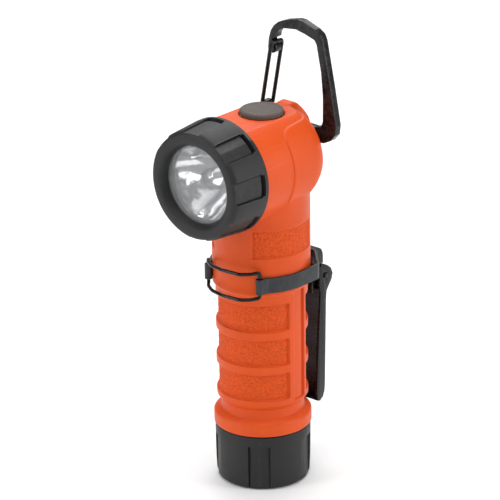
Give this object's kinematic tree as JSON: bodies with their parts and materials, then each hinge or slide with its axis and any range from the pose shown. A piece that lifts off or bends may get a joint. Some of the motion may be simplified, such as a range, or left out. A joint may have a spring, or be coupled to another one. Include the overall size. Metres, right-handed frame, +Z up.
{
  "type": "flashlight",
  "caption": "Firefighter's right-angle flashlight with a ribbed orange handle, a screw-on face cap, a push button on top, a belt clip on a neck strap and a wire-gate carabiner.",
  "frame": {"origin": "centre of the tail cap's flat bottom, which the light stands on", "axes": "+Z up along the handle, -Y the way the beam shines, +X the light's own left"},
  "size_m": [0.0416, 0.0654, 0.1678],
  "materials": {
    "orange_polymer": "satin moulded polymer with finely rough grip panels",
    "charcoal_polymer": "matte",
    "black_steel": "gloss black",
    "strap_steel": "satin dark blue-grey",
    "pad_rubber": "matte warm grey",
    "seal_rubber": "matte black",
    "lens_clear": "clear, coated polycarbonate",
    "reflector_mirror": "bright smooth vacuum metallised",
    "led_phosphor": "phosphor under a clear dome",
    "sink_aluminium": "turned",
    "circuit_board": "solder mask",
    "black_polymer": "matte",
    "red_insulation": "wire insulation",
    "contact_brass": "bright",
    "spring_steel": "satin",
    "cell_jacket": "printed film sleeve, left blank"
  },
  "bodies": {
    "body": {"housing": "orange_polymer", "clip_bracket": "black_steel", "wire_loop": "black_steel", "strap": "strap_steel", "face_oring": "seal_rubber", "tail_oring": "seal_rubber", "led_emitter": "led_phosphor", "heat_sink": "sink_aluminium", "led_board": "sink_aluminium", "driver_board": "circuit_board", "switch_board": "circuit_board", "switch_carrier": "black_polymer", "tactile_switch": "black_polymer", "contact_carrier": "black_polymer", "lead_wire_left": "black_polymer", "lead_wire_right": "red_insulation", "contact_plate": "contact_brass", "contact_spring": "contact_brass", "return_strip": "contact_brass", "clip_spring": "spring_steel", "clip_pin": "spring_steel", "strap_rivet_1": "spring_steel", "strap_rivet_2": "spring_steel", "battery_1": "cell_jacket", "battery_2": "cell_jacket"},
    "button": {"switch_button": "pad_rubber", "switch_plunger": "black_polymer"},
    "tail_carriage": {"tail_contact": "contact_brass", "tail_spring": "spring_steel"},
    "tail_cap": {"tail_cap": "charcoal_polymer"},
    "face_carriage": {"lens": "lens_clear", "lens_gasket": "seal_rubber", "reflector": "reflector_mirror"},
    "face_cap": {"face_cap": "charcoal_polymer"},
    "clip": {"clip_lever": "black_steel"},
    "carabiner": {"carabiner_frame": "black_steel"},
    "gate": {"carabiner_gate": "black_steel"}
  },
  "joints": [
    {"name": "switch_press", "type": "slide", "parent": "body", "child": "button", "axis": [0, 0, -1], "range_m": [0, 0.0008], "stiffness_N_per_m": 2500, "springref_m": -0.0004},
    {"name": "tail_cap_travel", "type": "slide", "parent": "body", "child": "tail_carriage", "axis": [0, 0, -1], "range_m": [0, 0.0121]},
    {"name": "tail_cap_unscrew", "type": "hinge", "parent": "tail_carriage", "child": "tail_cap", "pos_m": [0, 0, 0], "axis": [0, 0, -1], "range_deg": [0, 1080]},
    {"name": "face_cap_travel", "type": "slide", "parent": "body", "child": "face_carriage", "axis": [0, -1, 0], "range_m": [0, 0.01]},
    {"name": "face_cap_unscrew", "type": "hinge", "parent": "face_carriage", "child": "face_cap", "pos_m": [0, -0.025, 0.12], "axis": [0, -1, 0], "range_deg": [0, 1080]},
    {"name": "clip_open", "type": "hinge", "parent": "body", "child": "clip", "pos_m": [0, 0.026, 0.0704], "axis": [1, 0, 0], "range_deg": [0, 15], "stiffness_Nm_per_rad": 0.15, "springref_deg": -8.59},
    {"name": "carabiner_swing", "type": "hinge", "parent": "body", "child": "carabiner", "pos_m": [0, 0.019, 0.1279], "axis": [1, 0, 0], "range_deg": [-140, 15]},
    {"name": "gate_open", "type": "hinge", "parent": "carabiner", "child": "gate", "pos_m": [-0.013, 0.019, 0.1326], "axis": [0, 1, 0], "range_deg": [0, 28], "stiffness_Nm_per_rad": 0.01, "springref_deg": -17.19}
  ],
  "couplings": [
    {"joint": "tail_cap_travel", "follows": "tail_cap_unscrew", "m_per_rad": 0.00063662},
    {"joint": "face_cap_travel", "follows": "face_cap_unscrew", "m_per_rad": 0.00052521}
  ]
}
